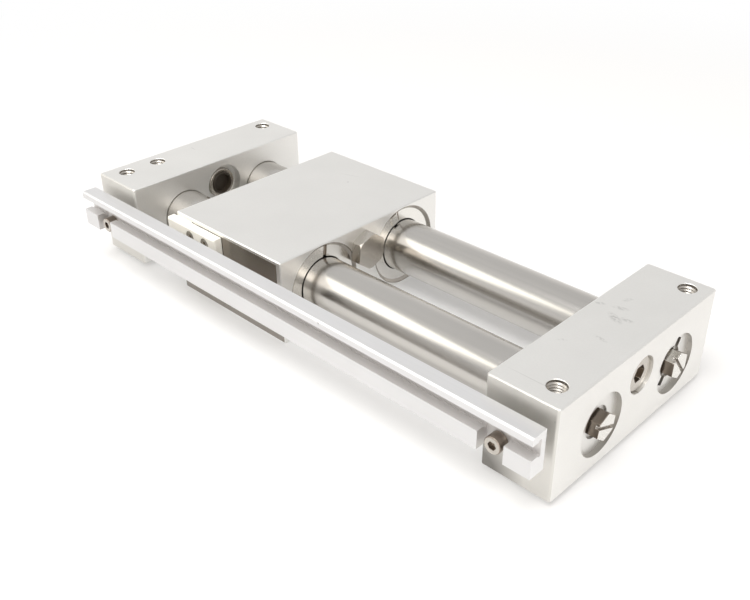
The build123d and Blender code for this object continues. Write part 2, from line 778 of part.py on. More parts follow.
def save_tube_row(row, tube_y):
    """One tube, the rings around it and the piston inside it."""
    magnets, yokes = stack_stations()
    save(row + "_tube", tube(tube_y))
    save(row + "_retaining_rings", both_ends_of_table(retaining_ring(tube_y, ring_gap_turns[row])))
    save(row + "_wipers", both_ends_of_table(wiper(tube_y)))
    save(row + "_bushings", both_ends_of_table(bushing(tube_y)))
    save(row + "_outer_magnets", outer_rings(magnets, tube_y))
    save(row + "_outer_yokes", outer_rings(yokes, tube_y))
    save(row + "_inner_magnets", inner_discs(magnets, tube_y))
    save(row + "_inner_yokes", inner_discs(yokes, tube_y))
    save(row + "_piston_shaft", piston_shaft(tube_y))
    save(row + "_piston_heads", both_ends_of_table(piston_head(tube_y)))
    save(row + "_piston_seals", both_ends_of_table(piston_seal(tube_y)))
    save(row + "_wear_rings", both_ends_of_table(wear_ring(tube_y)))
    save(row + "_piston_nuts", both_ends_of_table(piston_nut(tube_y)))
    save(row + "_piston_bumpers", both_ends_of_table(piston_bumper(tube_y)))


os.makedirs("parts", exist_ok=True)
save_ends()
save_table()
for row_name, row_y in tube_rows.items():
    save_tube_row(row_name, row_y)
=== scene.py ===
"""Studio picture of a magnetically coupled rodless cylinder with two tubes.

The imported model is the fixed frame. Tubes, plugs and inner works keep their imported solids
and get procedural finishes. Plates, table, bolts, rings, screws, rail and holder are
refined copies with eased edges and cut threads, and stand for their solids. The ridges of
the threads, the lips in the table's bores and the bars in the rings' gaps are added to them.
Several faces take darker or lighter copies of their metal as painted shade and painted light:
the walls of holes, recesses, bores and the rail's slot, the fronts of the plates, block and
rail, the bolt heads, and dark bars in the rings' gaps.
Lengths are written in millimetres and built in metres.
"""

from __future__ import annotations

import json
import logging
import math
from collections.abc import Callable
from dataclasses import dataclass
from enum import Enum
from itertools import product

import bpy
from mathutils import Matrix, Vector

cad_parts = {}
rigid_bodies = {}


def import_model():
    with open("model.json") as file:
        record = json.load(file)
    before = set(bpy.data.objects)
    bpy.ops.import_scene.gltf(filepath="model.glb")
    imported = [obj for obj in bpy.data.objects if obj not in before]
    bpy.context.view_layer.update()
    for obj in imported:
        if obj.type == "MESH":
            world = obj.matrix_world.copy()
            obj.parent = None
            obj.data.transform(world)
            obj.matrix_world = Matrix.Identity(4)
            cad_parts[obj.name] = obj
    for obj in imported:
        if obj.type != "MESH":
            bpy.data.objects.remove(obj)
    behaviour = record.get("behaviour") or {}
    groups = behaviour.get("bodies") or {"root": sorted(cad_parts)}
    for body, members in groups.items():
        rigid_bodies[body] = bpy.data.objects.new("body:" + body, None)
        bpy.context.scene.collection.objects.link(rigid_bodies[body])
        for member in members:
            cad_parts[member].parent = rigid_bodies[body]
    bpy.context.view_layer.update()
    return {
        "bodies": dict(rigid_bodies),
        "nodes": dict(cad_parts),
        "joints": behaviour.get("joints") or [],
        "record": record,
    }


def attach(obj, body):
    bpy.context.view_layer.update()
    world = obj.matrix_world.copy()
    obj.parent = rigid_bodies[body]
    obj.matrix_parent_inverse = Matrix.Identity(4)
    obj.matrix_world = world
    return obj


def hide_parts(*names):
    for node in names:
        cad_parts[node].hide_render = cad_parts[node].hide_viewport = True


LOG = logging.getLogger("rodless_cylinder")
MM = 0.001
PICTURE_WIDTH = 750
TURNED_FACETS = 96
BORE_FACETS = 72
MERGE_DISTANCE = 2e-6
# Angles in degrees: of edges to round, of edges to keep sharp, and between faces to merge.
ROUNDED_ANGLE = 28.0
SHARP_ANGLE = 40.0
FLAT_ANGLE = 0.3
# How far a cutter goes past the surface that it cuts, and the room left in tests of place.
BEYOND = 0.5
SLACK = 0.1
# Share of an axis in the normal of a face: most for one along it, least for one facing it.
ALONG = 0.5
FACING = 0.9

Colour = tuple[float, float, float]
Place = tuple[float, float, float]
Span = tuple[float, float]
Piece = bpy.types.Object
Face = bpy.types.MeshPolygon
Socket = bpy.types.NodeSocket


class Grain(Enum):
    """Stretch of a surface's fine lines, as the pattern's scale along X, Y and Z."""

    EVEN = (1.0, 1.0, 1.0)
    ALONG_X = (0.004, 1.0, 1.0)


class Side(Enum):
    """End of the unit, as the sign of its X."""

    NEAR = 1
    FAR = -1

    @property
    def word(self) -> str:
        """The side's word in the names of its nodes."""
        return self.name.lower()


class Bench:
    """Modelling steps that every piece uses, each made with Blender's own operators."""

    @staticmethod
    def clear() -> None:
        """Deselects everything."""
        bpy.ops.object.select_all(action="DESELECT")

    @staticmethod
    def activate(piece: Piece) -> None:
        """Selects one piece alone and makes it the active one."""
        Bench.clear()
        piece.select_set(True)
        bpy.context.view_layer.objects.active = piece

    @staticmethod
    def apply(piece: Piece, kind: str, **settings: object) -> None:
        """Adds one modifier to a piece and applies it.

        Args:
            piece: The mesh to change.
            kind: Blender's name for the modifier's type.
            settings: The modifier's own values.
        """
        Bench.activate(piece)
        modifier = piece.modifiers.new(kind.lower(), kind)
        for name, value in settings.items():
            setattr(modifier, name, value)
        bpy.ops.object.modifier_apply(modifier=modifier.name)

    @staticmethod
    def finish_edges(piece: Piece, width: float, segments: int = 2) -> None:
        """Rounds the sharp edges a little and shades flat faces flat and curves smooth.

        Args:
            piece: The mesh to finish.
            width: Width of the rounding.
            segments: Faces across the rounding.
        """
        Bench.activate(piece)
        if width > 0.0:
            Bench.apply(piece, "BEVEL", width=width * MM, segments=segments, limit_method="ANGLE",
                        angle_limit=math.radians(ROUNDED_ANGLE), use_clamp_overlap=True)
        bpy.ops.object.shade_smooth_by_angle(angle=math.radians(SHARP_ANGLE))
        Bench.apply(piece, "WEIGHTED_NORMAL", mode="FACE_AREA", weight=50, keep_sharp=True)

    @staticmethod
    def cut(piece: Piece, cutter: Piece) -> None:
        """Cuts one closed mesh out of another and deletes the cutter."""
        Bench.apply(piece, "BOOLEAN", operation="DIFFERENCE", solver="EXACT", object=cutter)
        bpy.data.objects.remove(cutter)

    @staticmethod
    def settled() -> Piece:
        """Takes the active piece's place, turn and scale into its mesh and returns it."""
        bpy.ops.object.transform_apply(location=True, rotation=True, scale=True)
        return bpy.context.object

    @staticmethod
    def start_edit() -> None:
        """Opens the active piece's mesh for editing, all of it selected."""
        bpy.ops.object.mode_set(mode="EDIT")
        bpy.ops.mesh.select_all(action="SELECT")

    @staticmethod
    def end_edit() -> None:
        """Turns the active piece's faces outwards and closes its mesh."""
        bpy.ops.mesh.select_all(action="SELECT")
        bpy.ops.mesh.normals_make_consistent(inside=False)
        bpy.ops.object.mode_set(mode="OBJECT")

    @staticmethod
    def box(low: Place, high: Place, turn: float = 0.0) -> Piece:
        """Makes a box between two corners, turned about its own middle's X axis.

        Args:
            low: Lowest corner.
            high: Highest corner.
            turn: Turn about X, in degrees.

        Returns:
            The box, with its place in its mesh.
        """
        Bench.clear()
        bpy.ops.mesh.primitive_cube_add(size=1.0)
        piece = bpy.context.object
        piece.scale = [(end - start) * MM for start, end in zip(low, high)]
        piece.rotation_euler = (math.radians(turn), 0.0, 0.0)
        piece.location = [(start + end) / 2 * MM for start, end in zip(low, high)]
        return Bench.settled()

    @staticmethod
    def disc_x(centre: Place, radius: float, thickness: float) -> Piece:
        """Makes a disc across X.

        Args:
            centre: Place of the disc's middle.
            radius: Radius of the disc.
            thickness: Thickness along X.

        Returns:
            The disc, with its place in its mesh.
        """
        Bench.clear()
        bpy.ops.mesh.primitive_cylinder_add(
            vertices=TURNED_FACETS, radius=radius * MM, depth=thickness * MM,
            location=[number * MM for number in centre], rotation=(0.0, math.pi / 2, 0.0))
        return Bench.settled()

    @staticmethod
    def swing(piece: Piece, centre: Place, turn: float, stretch: Place = (1.0, 1.0, 1.0)) -> None:
        """Turns a piece about an axis along X, and may stretch it about the same place.

        Args:
            piece: The mesh to turn.
            centre: A place on the axis.
            turn: Turn in degrees.
            stretch: Scale along X, Y and Z.
        """
        Bench.activate(piece)
        axis = Vector(centre) * MM
        piece.rotation_mode = "XYZ"
        piece.location = -axis
        Bench.settled()
        piece.rotation_euler = (math.radians(turn), 0.0, 0.0)
        piece.scale = stretch
        Bench.settled()
        piece.location = axis
        Bench.settled()

    @staticmethod
    def turned_z(stations: list[Span], axis: Span) -> Piece:
        """Makes a closed turned piece about an axis along Z.

        Args:
            stations: Height and radius of each ring, from the bottom up.
            axis: X and Y of the axis.

        Returns:
            The finished mesh, with its place in its mesh.
        """
        Bench.clear()
        height, radius = stations[0]
        x, y = (number * MM for number in axis)
        bpy.ops.mesh.primitive_circle_add(vertices=BORE_FACETS, radius=radius * MM,
                                          fill_type="NGON", location=(x, y, height * MM))
        piece = Bench.settled()
        Bench.start_edit()
        for next_height, next_radius in stations[1:]:
            bpy.ops.mesh.extrude_region_move(
                TRANSFORM_OT_translate={"value": (0.0, 0.0, (next_height - height) * MM)})
            share = next_radius / radius
            bpy.ops.transform.resize(value=(share, share, 1.0),
                                     center_override=(x, y, next_height * MM))
            height, radius = next_height, next_radius
        Bench.end_edit()
        return piece

    @staticmethod
    def copy_of(source: Piece, name: str) -> Piece:
        """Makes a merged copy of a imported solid, ready for finer edges.

        Args:
            source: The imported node.
            name: Name of the copy.

        Returns:
            The copy, with its flat faces whole and no parent.
        """
        Bench.activate(source)
        bpy.ops.object.duplicate()
        piece = bpy.context.object
        piece.name = name
        for key in list(piece.keys()):
            del piece[key]
        piece.parent = None
        piece.matrix_world = Matrix.Identity(4)
        Bench.activate(piece)
        if piece.data.has_custom_normals:
            bpy.ops.mesh.customdata_custom_splitnormals_clear()
        Bench.start_edit()
        bpy.ops.mesh.remove_doubles(threshold=MERGE_DISTANCE)
        bpy.ops.mesh.dissolve_limited(angle_limit=math.radians(FLAT_ANGLE))
        Bench.end_edit()
        return piece

    @staticmethod
    def joined(name: str, pieces: list[Piece]) -> Piece:
        """Joins several meshes into one piece.

        Args:
            name: Name of the joined piece.
            pieces: The meshes to join.

        Returns:
            The joined piece.
        """
        Bench.clear()
        for piece in pieces:
            piece.select_set(True)
        bpy.context.view_layer.objects.active = pieces[0]
        if len(pieces) > 1:
            bpy.ops.object.join()
        pieces[0].name = name
        return pieces[0]

    @staticmethod
    def dress(piece: Piece, material: bpy.types.Material) -> None:
        """Gives a piece one material all over."""
        piece.data.materials.clear()
        piece.data.materials.append(material)


@dataclass(frozen=True)
class ThreadForm:
    """Internal thread: a bore at the root radius with a helical ridge up to the crest."""

    root_radius: float
    crest_radius: float
    pitch: float
    mouth_radius: float
    mouth_depth: float
    steps: int = 30
    beyond: float = 0.2
    ridge_share: float = 0.45
    sharp_angle: float = 35.0

    def bore(self, piece: Piece, axis: Span, low: float, high: float, open_low: bool,
             open_high: bool) -> None:
        """Cuts the thread's root bore out of a piece, with a small countersink at open mouths.

        Args:
            piece: The mesh to cut.
            axis: X and Y of the axis.
            low: Lower end of the bore.
            high: Upper end of the bore.
            open_low: True where the lower end is a mouth in the surface.
            open_high: True where the upper end is a mouth in the surface.
        """
        flare = (self.mouth_radius - self.root_radius) / self.mouth_depth
        mouth = self.mouth_radius + flare * self.beyond
        stations = [(low, self.root_radius), (high, self.root_radius)]
        if open_low:
            stations[:1] = [(low - self.beyond, mouth), (low + self.mouth_depth, self.root_radius)]
        if open_high:
            stations[-1:] = [(high - self.mouth_depth, self.root_radius),
                             (high + self.beyond, mouth)]
        Bench.cut(piece, Bench.turned_z(stations, axis))

    def ridge(self, axis: Span, low: float, high: float) -> Piece:
        """Makes the helical ridge, its outer half sunk in the bore's wall.

        Args:
            axis: X and Y of the axis.
            low: Lowest height that the ridge may reach.
            high: Highest height that the ridge may reach.

        Returns:
            The ridge as a closed mesh.
        """
        Bench.clear()
        depth = self.root_radius - self.crest_radius
        half_height = self.pitch * self.ridge_share
        turns = math.floor((high - low - 2 * half_height) / self.pitch)
        bpy.ops.mesh.primitive_circle_add(vertices=4, radius=MM, fill_type="NOTHING",
                                          rotation=(math.pi / 2, 0.0, 0.0))
        piece = bpy.context.object
        piece.scale = (depth, half_height, 1.0)
        piece.location = (self.root_radius * MM, 0.0, 0.0)
        Bench.settled()
        Bench.apply(piece, "SCREW", axis="Z", angle=2 * math.pi, screw_offset=self.pitch * MM,
                    iterations=turns, steps=self.steps, render_steps=self.steps)
        Bench.start_edit()
        bpy.ops.mesh.fill_holes(sides=4)
        Bench.end_edit()
        piece.location = [number * MM for number in (*axis, low + half_height)]
        Bench.settled()
        bpy.ops.object.shade_smooth_by_angle(angle=math.radians(self.sharp_angle))
        return piece


class Nodes:
    """One node tree, with short calls for the nodes that finishes and studio share."""

    def __init__(self, tree: bpy.types.NodeTree) -> None:
        """Empties the tree."""
        self.tree = tree
        tree.nodes.clear()

    def add(self, kind: str, inputs: dict[str | int, object],
            **settings: object) -> bpy.types.Node:
        """Adds a node with its settings and inputs.

        Args:
            kind: Blender's name for the node's type, without its first word ShaderNode.
            inputs: Value or feeding socket of each input, by its name or number.
            settings: The node's own values.

        Returns:
            The new node.
        """
        node = self.tree.nodes.new("ShaderNode" + kind)
        for name, value in settings.items():
            setattr(node, name, value)
        for key, value in inputs.items():
            if isinstance(value, Socket):
                self.tree.links.new(value, node.inputs[key])
            else:
                node.inputs[key].default_value = value
        return node

    def combined(self, operation: str, first: Socket, second: Socket | float) -> Socket:
        """Combines two values by one of Blender's operations and returns the result."""
        node = self.add("Math", {0: first, 1: second}, operation=operation)
        return node.outputs["Value"]

    def distance(self, vector: Socket) -> Socket:
        """Measures a vector and returns its length."""
        node = self.add("VectorMath", {0: vector}, operation="LENGTH")
        return node.outputs["Value"]

    def spread(self, value: Socket, low: float, high: float, from_low: float = 0.25,
               from_high: float = 0.75, easing: str = "LINEAR") -> Socket:
        """Maps a value from one span to another, held at the ends.

        Args:
            value: The value to map.
            low: Result at the span's start.
            high: Result at the span's end.
            from_low: Start of the value's span.
            from_high: End of the value's span.
            easing: Blender's name for the way between the ends.

        Returns:
            The mapped value.
        """
        node = self.add("MapRange", {
            "Value": value, "From Min": from_low, "From Max": from_high, "To Min": low,
            "To Max": high}, interpolation_type=easing)
        return node.outputs["Result"]

    def blend(self, share: Socket, first: Socket | Colour, second: Socket | Colour,
              way: str = "MIX") -> Socket:
        """Mixes two colours.

        Args:
            share: Share of the second colour.
            first: First colour, a socket or a fixed one.
            second: Second colour, a socket or a fixed one.
            way: Blender's name for the way of mixing.

        Returns:
            The mixed colour.
        """
        colours = [(*colour, 1.0) if isinstance(colour, tuple) else colour
                   for colour in (first, second)]
        node = self.add("Mix", {0: share, 6: colours[0], 7: colours[1]},
                        data_type="RGBA", blend_type=way)
        return node.outputs[2]


class Board(Nodes):
    """Node board of one material of the object."""

    def __init__(self, name: str) -> None:
        """Starts a material with its surface shader and object coordinates."""
        self.material = bpy.data.materials.new(name)
        self.material.use_nodes = True
        super().__init__(self.material.node_tree)
        self.surface = self.add("BsdfPrincipled", {})
        self.add("OutputMaterial", {"Surface": self.surface.outputs["BSDF"]})
        self.place = self.add("TexCoord", {}).outputs["Object"]

    def pattern(self, size: float, grain: Grain, detail: float = 3.0, shift: float = 0.0) -> Socket:
        """Adds a noise pattern in the object's own coordinates.

        Args:
            size: Size of the pattern's features.
            grain: Stretch of the pattern.
            detail: Levels of finer noise within it.
            shift: Offset of the pattern, so that two patterns differ.

        Returns:
            The pattern's value, about 0.5 on average.
        """
        mapping = self.add("Mapping", {
            "Vector": self.place, "Location": (shift, shift, shift),
            "Scale": [stretch / (size * MM) for stretch in grain.value]})
        noise = self.add("TexNoise", {
            "Vector": mapping.outputs["Vector"], "Scale": 1.0, "Detail": detail})
        return noise.outputs["Fac"]

    def paint(self, colour: Socket, texture: Socket, roughness: float, spread: float,
              depth: float) -> bpy.types.Material:
        """Feeds the surface shader.

        Args:
            colour: The surface's colour.
            texture: Pattern of its roughness and of its fine relief.
            roughness: Middle of its roughness.
            spread: How far the roughness goes from there.
            depth: Depth of the relief.

        Returns:
            The finished material.
        """
        rough = self.spread(texture, roughness - spread, roughness + spread)
        bump = self.add("Bump", {"Height": texture, "Distance": depth * MM, "Strength": 1.0})
        for name, socket in (("Base Color", colour), ("Roughness", rough),
                             ("Normal", bump.outputs["Normal"])):
            self.tree.links.new(socket, self.surface.inputs[name])
        return self.material


@dataclass(frozen=True)
class Mark:
    """Mark on one surface: a smudge or fine line of handling, or a soft patch of painted shade."""

    place: Place
    length: float
    width: float
    turn: float = 0.0
    depth: float = 0.3
    broken: bool = False
    height: float = 1.2
    core: float = 0.35
    patch_size: float = 0.7
    patch_least: float = 0.1
    patch_span: Span = (0.42, 0.58)

    def mask(self, board: Board) -> Socket:
        """Adds the mark's shape to a board.

        Args:
            board: Board of the marked material.

        Returns:
            The mark's strength at each point, from 0 to its depth.
        """
        sizes = (self.length, self.width, self.height)
        mapping = board.add("Mapping", {
            "Vector": board.place, "Location": [number * MM for number in self.place],
            "Rotation": (0.0, 0.0, math.radians(self.turn)),
            "Scale": [size / 2 * MM for size in sizes]}, vector_type="TEXTURE")
        distance = board.distance(mapping.outputs["Vector"])
        shape = board.spread(distance, self.depth, 0.0, self.core, 1.0)
        if not self.broken:
            return shape
        noise = board.pattern(self.patch_size, Grain.EVEN, detail=2.0, shift=5.0)
        patches = board.spread(noise, self.patch_least, 1.0, *self.patch_span)
        return board.combined("MULTIPLY", shape, patches)


@dataclass(frozen=True)
class MetalFinish:
    """Bare or anodised metal with fine grain, soft clouding and a few marks, some painted shade."""

    colour: Colour
    roughness: float
    grain_size: float
    grain_tone: float = 0.05
    grain_depth: float = 0.001
    roughness_spread: float = 0.04
    grain: Grain = Grain.EVEN
    cloud_size: float = 16.0
    cloud_tone: float = 0.05
    cloud_shade: float = 0.78
    # Colour that the marks blend to: dark smudges and lines, and painted shade on the plates'
    # fronts.
    smudge: Colour = (0.10, 0.09, 0.08)
    marks: tuple[Mark, ...] = ()

    def tone(self, share: float) -> Colour:
        """The finish's colour, lighter or darker by a share."""
        return tuple(min(1.0, part * (1.0 + share)) for part in self.colour)

    def make(self, name: str) -> bpy.types.Material:
        """Makes the material.

        Args:
            name: Name of the material.

        Returns:
            The finished material.
        """
        board = Board(name)
        grain = board.pattern(self.grain_size, self.grain)
        cloud = board.pattern(self.cloud_size, Grain.EVEN, detail=2.0, shift=3.0)
        fine = board.blend(board.spread(grain, 0.0, 1.0), self.tone(-self.grain_tone),
                           self.tone(self.grain_tone))
        colour = board.blend(board.spread(cloud, 0.0, self.cloud_tone * 4), fine,
                             tuple(part * self.cloud_shade for part in self.colour))
        for mark in self.marks:
            colour = board.blend(mark.mask(board), colour, self.smudge)
        board.surface.inputs["Metallic"].default_value = 1.0
        return board.paint(colour, grain, self.roughness, self.roughness_spread, self.grain_depth)


@dataclass(frozen=True)
class MouldedFinish:
    """Moulded plastic or rubber with a faint spark-eroded texture."""

    colour: Colour
    roughness: float = 0.5
    texture_size: float = 0.35
    texture_depth: float = 0.006
    shade: float = 0.08
    roughness_spread: float = 0.06
    cloud_size: float = 6.0

    def make(self, name: str) -> bpy.types.Material:
        """Makes the material.

        Args:
            name: Name of the material.

        Returns:
            The finished material.
        """
        board = Board(name)
        texture = board.pattern(self.texture_size, Grain.EVEN)
        cloud = board.pattern(self.cloud_size, Grain.EVEN, detail=2.0, shift=2.0)
        dark = tuple(part * (1.0 - self.shade) for part in self.colour)
        colour = board.blend(board.spread(cloud, 0.0, 1.0), self.colour, dark)
        return board.paint(colour, texture, self.roughness, self.roughness_spread,
                           self.texture_depth)


PLATE_MARKS = (
    Mark((71.5, 11.8, 27.5), 3.2, 1.6, 20.0, 0.22, True),
    Mark((77.8, 8.4, 27.5), 6.4, 2.6, -30.0, 0.26, True),
    Mark((80.5, 9.5, 27.5), 4.2, 1.9, 0.0, 0.22, True),
    Mark((75.7, 17.8, 27.5), 3.4, 1.7, 60.0, 0.18, True),
    Mark((76.5, 13.2, 27.5), 5.0, 2.0, 15.0, 0.20, True),
    Mark((80.2, -1.5, 27.5), 4.6, 1.4, -12.0, 0.16, True),
    Mark((74.0, -8.0, 27.5), 3.0, 1.2, 35.0, 0.12, True),
    Mark((79.2, -25.27, 27.5), 18.6, 0.22, 0.0, 0.22),
    Mark((88.0, -30.0, 24.0), 0.9, 0.7, 0.0, 0.35),
    Mark((-84.1, 3.0, 27.5), 3.8, 0.3, -3.0, 0.22),
)
BLOCK_MARKS = (
    Mark((-28.0, 22.1, 26.0), 0.7, 0.7, 0.0, 0.35),
    Mark((-30.8, 26.4, 26.0), 9.8, 0.25, 19.2, 0.16),
)
RAIL_MARKS = (Mark((23.0, -37.75, 23.3), 0.8, 0.6, 0.0, 0.35),)
# Marks on the plates' front faces: a broad soft patch of painted shade, darkest low at the near
# plate's inner edge beside the rail, and one small dark spot.
FRONT_SHADE_AND_MARKS = (
    Mark((69.0, -30.25, 1.0), 26.0, 2.0, 0.0, 0.72, height=24.0),
    Mark((88.0, -30.0, 24.0), 0.9, 0.7, 0.0, 0.35),
)


# All finishes of the unit, each named for the record's slot or for its own use.
PALETTE = {
    "machined_aluminium": MetalFinish((0.86, 0.85, 0.825), 0.46, 0.45, 0.02, 0.003,
                                      marks=PLATE_MARKS),
    "table_aluminium": MetalFinish((0.86, 0.85, 0.825), 0.38, 0.45, 0.02, 0.003, cloud_tone=0.04,
                                   marks=BLOCK_MARKS),
    # Plates' front faces: the plate aluminium, rougher, and painted darker as shade on that side.
    "plate_side": MetalFinish((0.72, 0.705, 0.67), 0.54, 0.45, 0.02, 0.002, marks=FRONT_SHADE_AND_MARKS),
    # The block's front panels: polished, and painted dark as the shade of the gap between rail and
    # block and of the floor under the rail.
    "block_side": MetalFinish((0.37, 0.34, 0.305), 0.14, 0.5, 0.03, 0.001, 0.03, Grain.ALONG_X),
    # Inside of the rail's slot and notches: the rail's aluminium, rougher and painted darker as the
    # shade in the slot.
    "slot_inside": MetalFinish((0.76, 0.745, 0.735), 0.60, 0.6, 0.02, 0.0005, 0.03),
    # Threaded holes: the plate's aluminium painted dark as the shade inside the holes.
    "thread": MetalFinish((0.50, 0.47, 0.43), 0.36, 0.4, 0.03),
    # Plate recess walls: the plate's aluminium painted darker as the shade in the bolt recesses and
    # the adjuster hole's mouth.
    "turned": MetalFinish((0.50, 0.48, 0.45), 0.34, 0.4, 0.02),
    # Walls, mouths and lips of the table's tube bores: the aluminium painted dark as the shade
    # inside the bores.
    "bore_wall": MetalFinish((0.42, 0.39, 0.35), 0.24, 0.4, 0.03),
    "socket": MetalFinish((0.50, 0.44, 0.37), 0.32, 0.4, 0.03),
    "rail_aluminium": MetalFinish((0.84, 0.835, 0.835), 0.42, 0.35, 0.02, 0.0015, 0.04,
                                  Grain.ALONG_X, marks=RAIL_MARKS),
    # The rail's front faces: the rail's aluminium, a little rougher and painted darker as shade on
    # that side.
    "rail_front": MetalFinish((0.77, 0.765, 0.765), 0.46, 0.35, 0.02, 0.001, 0.04,
                              Grain.ALONG_X, marks=RAIL_MARKS),
    "tube_steel": MetalFinish((0.57, 0.55, 0.52), 0.21, 0.8, 0.03, 0.0015, 0.03, Grain.ALONG_X,
                              22.0),
    "ring_steel": MetalFinish((0.86, 0.84, 0.80), 0.24, 0.3, 0.02),
    "bolt_steel": MetalFinish((0.55, 0.515, 0.465), 0.24, 0.5),
    # Bolt end faces: a lighter copy of the bolt steel, painted light on the end faces and one lit
    # flat.
    "bolt_face": MetalFinish((0.80, 0.78, 0.74), 0.26, 0.5, 0.04),
    # Bolt sides: a darker copy of the bolt steel, painted shade on hex flats, screw heads' sides
    # and dark bars in the rings' gaps.
    "bolt_side": MetalFinish((0.32, 0.275, 0.235), 0.30, 0.9, 0.03, 0.0006, 0.03),
    "inner_steel": MetalFinish((0.58, 0.57, 0.55), 0.25, 0.4, 0.05, 0.004, 0.05),
    "magnet_nickel": MetalFinish((0.72, 0.71, 0.69), 0.18, 0.6, 0.05, 0.004),
    "inner_aluminium": MetalFinish((0.76, 0.76, 0.75), 0.32, 0.4, 0.05, 0.004, 0.05),
    "bearing_bronze": MetalFinish((0.66, 0.50, 0.28), 0.35, 0.5, 0.05, 0.004, 0.06),
    "seal_rubber": MouldedFinish((0.035, 0.035, 0.036), 0.55),
    "wiper_rubber": MouldedFinish((0.10, 0.085, 0.07)),
    "bumper_rubber": MouldedFinish((0.05, 0.038, 0.026), 0.4, 0.4, 0.01, 0.15),
    "holder_plastic": MouldedFinish((1.0, 0.975, 0.90), 0.42, 0.35, 0.004, 0.03),
    "guide_plastic": MouldedFinish((0.24, 0.24, 0.25), 0.45),
}


class Workshop:
    """The loaded frame's nodes with their slots, and the materials of all finishes."""

    def __init__(self, frame: dict, palette: dict[str, MetalFinish | MouldedFinish]) -> None:
        """Keeps the frame's nodes and makes the material of each finish."""
        self.nodes: dict[str, Piece] = frame["nodes"]
        self.slot_of = {row["node"]: row["material_slot"] for row in frame["record"]["subparts"]}
        self.materials = {name: finish.make(name) for name, finish in palette.items()}

    def place(self, piece: Piece, body: str, slot: str, nodes: tuple[str, ...] = (),
              material: str = "") -> Piece:
        """Dresses a finished piece and fixes it to its body.

        Args:
            piece: The finished mesh.
            body: Body that the piece rides on.
            slot: The record's slot that its finish comes from.
            nodes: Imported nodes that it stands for.
            material: Name of the material where it isn't the slot's own.

        Returns:
            The placed piece.
        """
        Bench.dress(piece, self.materials[material or slot])
        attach(piece, body)
        if nodes:
            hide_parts(*nodes)
        LOG.info("%s: %d faces, rides on %s", piece.name, len(piece.data.polygons), body)
        return piece

    def accent(self, piece: Piece, material: str, chosen: Callable[[Face], bool]) -> None:
        """Gives some faces of a placed piece a material of their own.

        Args:
            piece: The placed mesh.
            material: Name of the further material.
            chosen: True for a face that takes it.
        """
        piece.data.materials.append(self.materials[material])
        last = len(piece.data.materials) - 1
        for face in piece.data.polygons:
            if chosen(face):
                face.material_index = last

    def refine(self, node: str, name: str, body: str, width: float, segments: int = 2,
               change: Callable[[Piece], None] | None = None) -> Piece:
        """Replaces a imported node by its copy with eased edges.

        Args:
            node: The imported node.
            name: Name of the piece.
            body: Body that the piece rides on.
            width: Width of the rounding.
            segments: Faces across the rounding.
            change: What is done to the copy before its edges are eased.

        Returns:
            The placed piece.
        """
        piece = Bench.copy_of(self.nodes[node], name)
        if change:
            change(piece)
        Bench.finish_edges(piece, width, segments)
        return self.place(piece, body, self.slot_of[node], (node,))

    def dress_nodes(self) -> None:
        """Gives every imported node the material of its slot, and the wipers a softer black."""
        for name, node in self.nodes.items():
            slot = "wiper_rubber" if name.endswith("_wipers") else self.slot_of[name]
            Bench.dress(node, self.materials[slot])


M5_THREAD = ThreadForm(2.45, 2.1, 0.8, 2.6, 0.15)
M4_THREAD = ThreadForm(2.0, 1.65, 0.7, 2.3, 0.3)


